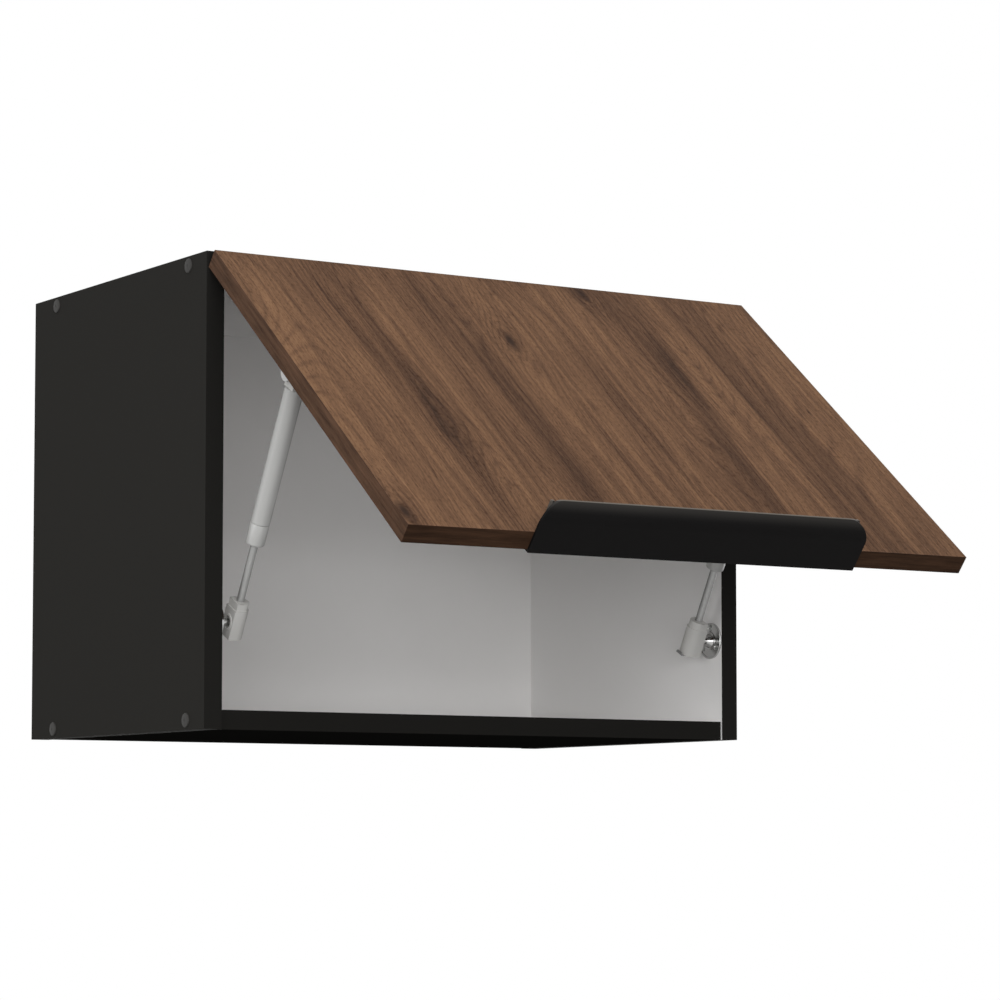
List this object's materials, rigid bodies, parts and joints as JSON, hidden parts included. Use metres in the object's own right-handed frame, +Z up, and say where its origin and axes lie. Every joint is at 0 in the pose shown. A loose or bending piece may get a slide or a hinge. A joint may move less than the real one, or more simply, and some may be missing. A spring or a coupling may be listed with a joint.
{
  "type": "wall cabinet",
  "caption": "Wall cabinet with a top-hung wood-grain flap on concealed hinges, held open by gas springs, with a curled black edge handle and a two-tone board carcass.",
  "frame": {"origin": "midway between the two wall screw holes, on the wall plane", "axes": "+X to the right facing the cabinet, +Y towards the wall, +Z up"},
  "size_m": [0.5022, 0.6152, 0.365],
  "materials": {
    "carcass_board": "melamine-faced board, graphite outside and on the edges, white inside",
    "back_board": "white lacquered fibreboard",
    "rail_board": "plain white board strip",
    "walnut_flap": "walnut-grain foil on board, satin",
    "black_handle": "black anodised, satin",
    "cap_plastic": "satin",
    "socket_plastic": "moulded, satin",
    "grey_tube": "light grey lacquer",
    "bright_steel": "ground",
    "chrome_fitting": "bright",
    "zinc_screw": "zinc plated",
    "nickel_hinge": "nickel plated",
    "seal_rubber": "matt",
    "bumper_rubber": "clear soft buffer"
  },
  "bodies": {
    "carcass": {"back_panel": "back_board", "bottom_panel": "carcass_board", "carcass_screws": "zinc_screw", "left_hinge_arm": "nickel_hinge", "left_hinge_plate": "nickel_hinge", "left_hinge_plate_screws": "zinc_screw", "left_lower_ball_stud": "chrome_fitting", "left_lower_bracket": "chrome_fitting", "left_lower_bracket_screws": "zinc_screw", "left_side": "carcass_board", "right_hinge_arm": "nickel_hinge", "right_hinge_plate": "nickel_hinge", "right_hinge_plate_screws": "zinc_screw", "right_lower_ball_stud": "chrome_fitting", "right_lower_bracket": "chrome_fitting", "right_lower_bracket_screws": "zinc_screw", "right_side": "carcass_board", "screw_caps": "cap_plastic", "top_panel": "carcass_board", "wall_rail": "rail_board"},
    "flap": {"flap_bumpers": "bumper_rubber", "flap_panel": "walnut_flap", "handle": "black_handle", "handle_screws": "zinc_screw", "left_hinge_cup": "nickel_hinge", "left_hinge_cup_screws": "zinc_screw", "left_hinge_pin": "bright_steel", "left_upper_bracket": "chrome_fitting", "left_upper_bracket_screws": "zinc_screw", "right_hinge_cup": "nickel_hinge", "right_hinge_cup_screws": "zinc_screw", "right_hinge_pin": "bright_steel", "right_upper_bracket": "chrome_fitting", "right_upper_bracket_screws": "zinc_screw"},
    "left_spring_rod_end": {"left_spring_lower_clip": "bright_steel", "left_spring_lower_socket": "socket_plastic", "left_spring_piston": "bright_steel", "left_spring_rod": "bright_steel"},
    "left_spring_tube_end": {"left_spring_rod_guide": "grey_tube", "left_spring_seal": "seal_rubber", "left_spring_tube": "grey_tube", "left_spring_upper_clip": "bright_steel", "left_spring_upper_socket": "socket_plastic", "left_upper_ball_stud": "chrome_fitting"},
    "right_spring_rod_end": {"right_spring_lower_clip": "bright_steel", "right_spring_lower_socket": "socket_plastic", "right_spring_piston": "bright_steel", "right_spring_rod": "bright_steel"},
    "right_spring_tube_end": {"right_spring_rod_guide": "grey_tube", "right_spring_seal": "seal_rubber", "right_spring_tube": "grey_tube", "right_spring_upper_clip": "bright_steel", "right_spring_upper_socket": "socket_plastic", "right_upper_ball_stud": "chrome_fitting"}
  },
  "joints": [
    {"name": "flap_hinge", "type": "hinge", "parent": "carcass", "child": "flap", "pos_m": [0, -0.3185, 0.0355], "axis": [1, 0, 0], "range_deg": [0, 50.86], "stiffness_Nm_per_rad": 1.5, "springref_deg": -137.51},
    {"name": "left_spring_pivot", "type": "hinge", "parent": "carcass", "child": "left_spring_rod_end", "pos_m": [-0.216, -0.2915, -0.237], "axis": [1, 0, 0], "range_deg": [-27.95, 0]},
    {"name": "left_spring_stroke", "type": "slide", "parent": "left_spring_rod_end", "child": "left_spring_tube_end", "axis": [0, -0.4766, 0.8791], "range_m": [-0.04696, 0]},
    {"name": "right_spring_pivot", "type": "hinge", "parent": "carcass", "child": "right_spring_rod_end", "pos_m": [0.216, -0.2915, -0.237], "axis": [1, 0, 0], "range_deg": [-27.95, 0]},
    {"name": "right_spring_stroke", "type": "slide", "parent": "right_spring_rod_end", "child": "right_spring_tube_end", "axis": [0, -0.4766, 0.8791], "range_m": [-0.04696, 0]}
  ],
  "couplings": [
    {"joint": "left_spring_pivot", "follows": "flap_hinge", "ratio": -0.54838},
    {"joint": "left_spring_stroke", "follows": "flap_hinge", "m_per_rad": -0.052792},
    {"joint": "right_spring_pivot", "follows": "flap_hinge", "ratio": -0.54838},
    {"joint": "right_spring_stroke", "follows": "flap_hinge", "m_per_rad": -0.052792}
  ]
}
